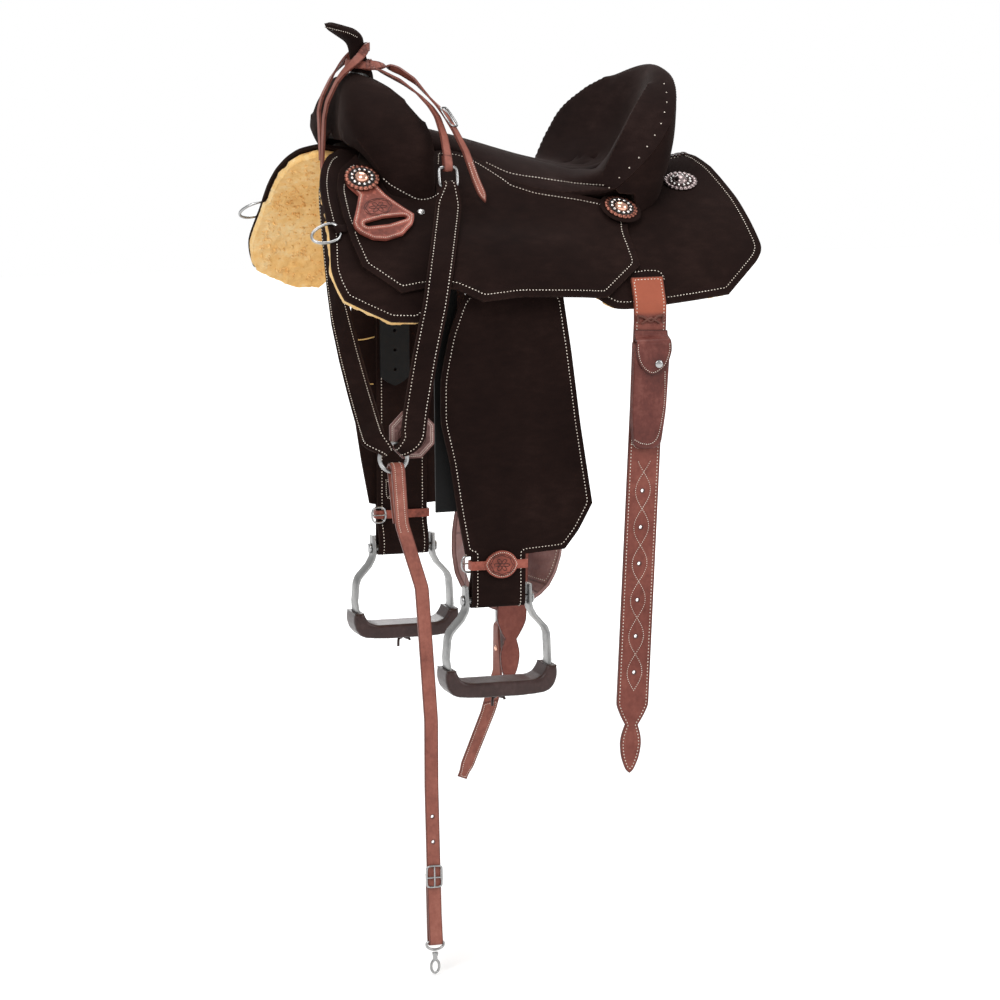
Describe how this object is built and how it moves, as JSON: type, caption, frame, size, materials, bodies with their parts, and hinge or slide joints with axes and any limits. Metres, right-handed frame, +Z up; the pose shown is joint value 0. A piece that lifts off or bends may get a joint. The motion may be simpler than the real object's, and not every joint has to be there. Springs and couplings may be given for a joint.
{
  "type": "barrel racing saddle",
  "caption": "Western barrel racing saddle of brown roughout leather on a wooden tree, with stirrups, breast collar, tie down and flank straps.",
  "frame": {"origin": "on the saddle's centre plane, below the seat and between the lower edges of the skirts, where the horse's back comes", "axes": "-X is the front, the way the horse faces; -Y is the near side, which the picture shows; +Z is up"},
  "size_m": [0.6461, 0.6243, 1.295],
  "materials": {
    "suede": "brown roughout leather, nap outwards",
    "fleece": "golden wool pile",
    "tree_wood": "bare wood under the leather",
    "horn_iron": "plain casting under its wrap",
    "tan_leather": "smooth oiled harness leather",
    "padded_leather": "smooth harness leather, polished",
    "tooled_leather": "tooled, pale reddish",
    "black_leather": "dull black strap leather",
    "tread_leather": "wrapped and laced",
    "steel": "polished wire and buckles",
    "stirrup_alloy": "satin",
    "concho_copper": "antique copper with a bright centre",
    "concho_silver": "antique silver"
  },
  "bodies": {
    "saddle": {"skirt_near": "suede", "skirt_far": "suede", "fork_cover": "suede", "horn_wrap": "suede", "cantle_cover": "suede", "seat_cover": "suede", "jockey_near": "suede", "jockey_far": "suede", "collar_arm_near": "suede", "collar_arm_far": "suede", "fleece_near": "fleece", "fleece_far": "fleece", "tree_bar_near": "tree_wood", "tree_bar_far": "tree_wood", "fork_core": "tree_wood", "cantle_core": "tree_wood", "horn_core": "horn_iron", "ground_seat": "tan_leather", "skirt_lacing": "tan_leather", "latigo_keeper": "tan_leather", "wither_strap_near": "tan_leather", "wither_strap_far": "tan_leather", "tooled_pad": "tooled_leather", "wither_buckle": "steel", "arm_ring_near": "steel", "arm_ring_far": "steel", "centre_ring": "steel", "front_concho_near": "concho_copper", "front_concho_far": "concho_copper", "seat_concho_near": "concho_copper", "seat_concho_far": "concho_copper", "rear_concho_near": "concho_silver", "rear_concho_far": "concho_silver"},
    "fender_near": {"fender_near": "suede", "hobble_near": "tan_leather"},
    "fender_far": {"fender_far": "suede", "hobble_far": "tan_leather"},
    "stirrup_near": {"stirrup_near": "stirrup_alloy", "stirrup_bolt_near": "steel", "tread_wrap_near": "tread_leather"},
    "stirrup_far": {"stirrup_far": "stirrup_alloy", "stirrup_bolt_far": "steel", "tread_wrap_far": "tread_leather"},
    "collar_dee_near": {"collar_dee_near": "steel"},
    "collar_dee_far": {"collar_dee_far": "steel"},
    "flank_billet_near": {"flank_billet_near": "tan_leather", "hoof_pick_sheath": "padded_leather"},
    "sheath_flap": {"sheath_flap": "padded_leather"},
    "flank_cinch": {"flank_billet_far": "tan_leather", "flank_cinch": "padded_leather", "cinch_buckle": "steel", "cinch_dee": "steel"},
    "connector": {"connector_strap": "tan_leather"},
    "tie_down": {"tie_down_strap": "tan_leather", "tie_down_buckle": "steel", "snap_swivel": "steel"},
    "snap_hook": {"snap_hook": "steel"},
    "latigo": {"latigo_strap": "black_leather"},
    "off_billet": {"off_billet": "black_leather"}
  },
  "joints": [
    {"name": "fender_near_swing", "type": "hinge", "parent": "saddle", "child": "fender_near", "pos_m": [-0.06, -0.2347, -0.034], "axis": [0, -1, 0], "range_deg": [-15, 25]},
    {"name": "fender_far_swing", "type": "hinge", "parent": "saddle", "child": "fender_far", "pos_m": [-0.06, 0.2347, -0.034], "axis": [0, -1, 0], "range_deg": [-15, 25]},
    {"name": "stirrup_near_tilt", "type": "hinge", "parent": "fender_near", "child": "stirrup_near", "pos_m": [-0.078, -0.2266, -0.46], "axis": [1, 0, 0], "range_deg": [-4, 60]},
    {"name": "stirrup_far_tilt", "type": "hinge", "parent": "fender_far", "child": "stirrup_far", "pos_m": [-0.078, 0.2266, -0.46], "axis": [-1, 0, 0], "range_deg": [-4, 60]},
    {"name": "collar_dee_near_fold", "type": "hinge", "parent": "saddle", "child": "collar_dee_near", "pos_m": [-0.28876, -0.18852, 0.05235], "axis": [-0.2251, 0.6784, 0.6993], "range_deg": [0, 80]},
    {"name": "collar_dee_far_fold", "type": "hinge", "parent": "saddle", "child": "collar_dee_far", "pos_m": [-0.28876, 0.18852, 0.05235], "axis": [0.2251, 0.6784, -0.6993], "range_deg": [0, 80]},
    {"name": "flank_billet_near_lift", "type": "hinge", "parent": "saddle", "child": "flank_billet_near", "pos_m": [0.13086, -0.24719, -0.02061], "axis": [-1, 0, 0], "range_deg": [0, 100]},
    {"name": "sheath_flap_lift", "type": "hinge", "parent": "flank_billet_near", "child": "sheath_flap", "pos_m": [0.1272, -0.2723, -0.0882], "axis": [-1, 0, 0], "range_deg": [0, 90]},
    {"name": "flank_cinch_lift", "type": "hinge", "parent": "saddle", "child": "flank_cinch", "pos_m": [0.13086, 0.24719, -0.02061], "axis": [1, 0, 0], "range_deg": [0, 60]},
    {"name": "connector_swing", "type": "hinge", "parent": "flank_cinch", "child": "connector", "pos_m": [0.098, 0.30365, -0.6039], "axis": [0, 1, 0], "range_deg": [-30, 60]},
    {"name": "tie_down_swing", "type": "hinge", "parent": "saddle", "child": "tie_down", "pos_m": [-0.23453, -0.268, -0.2697], "axis": [-1, 0, 0], "range_deg": [0, 60]},
    {"name": "snap_swivel_turn", "type": "hinge", "parent": "tie_down", "child": "snap_hook", "pos_m": [-0.1815, -0.27, -0.9396], "axis": [0, 0, 1], "continuous": true},
    {"name": "latigo_swing", "type": "hinge", "parent": "saddle", "child": "latigo", "pos_m": [-0.14862, -0.17871, 0.02764], "axis": [1, 0, 0], "range_deg": [0, 25]},
    {"name": "off_billet_swing", "type": "hinge", "parent": "saddle", "child": "off_billet", "pos_m": [-0.09465, 0.18179, 0.02199], "axis": [-1, 0, 0], "range_deg": [0, 25]}
  ]
}
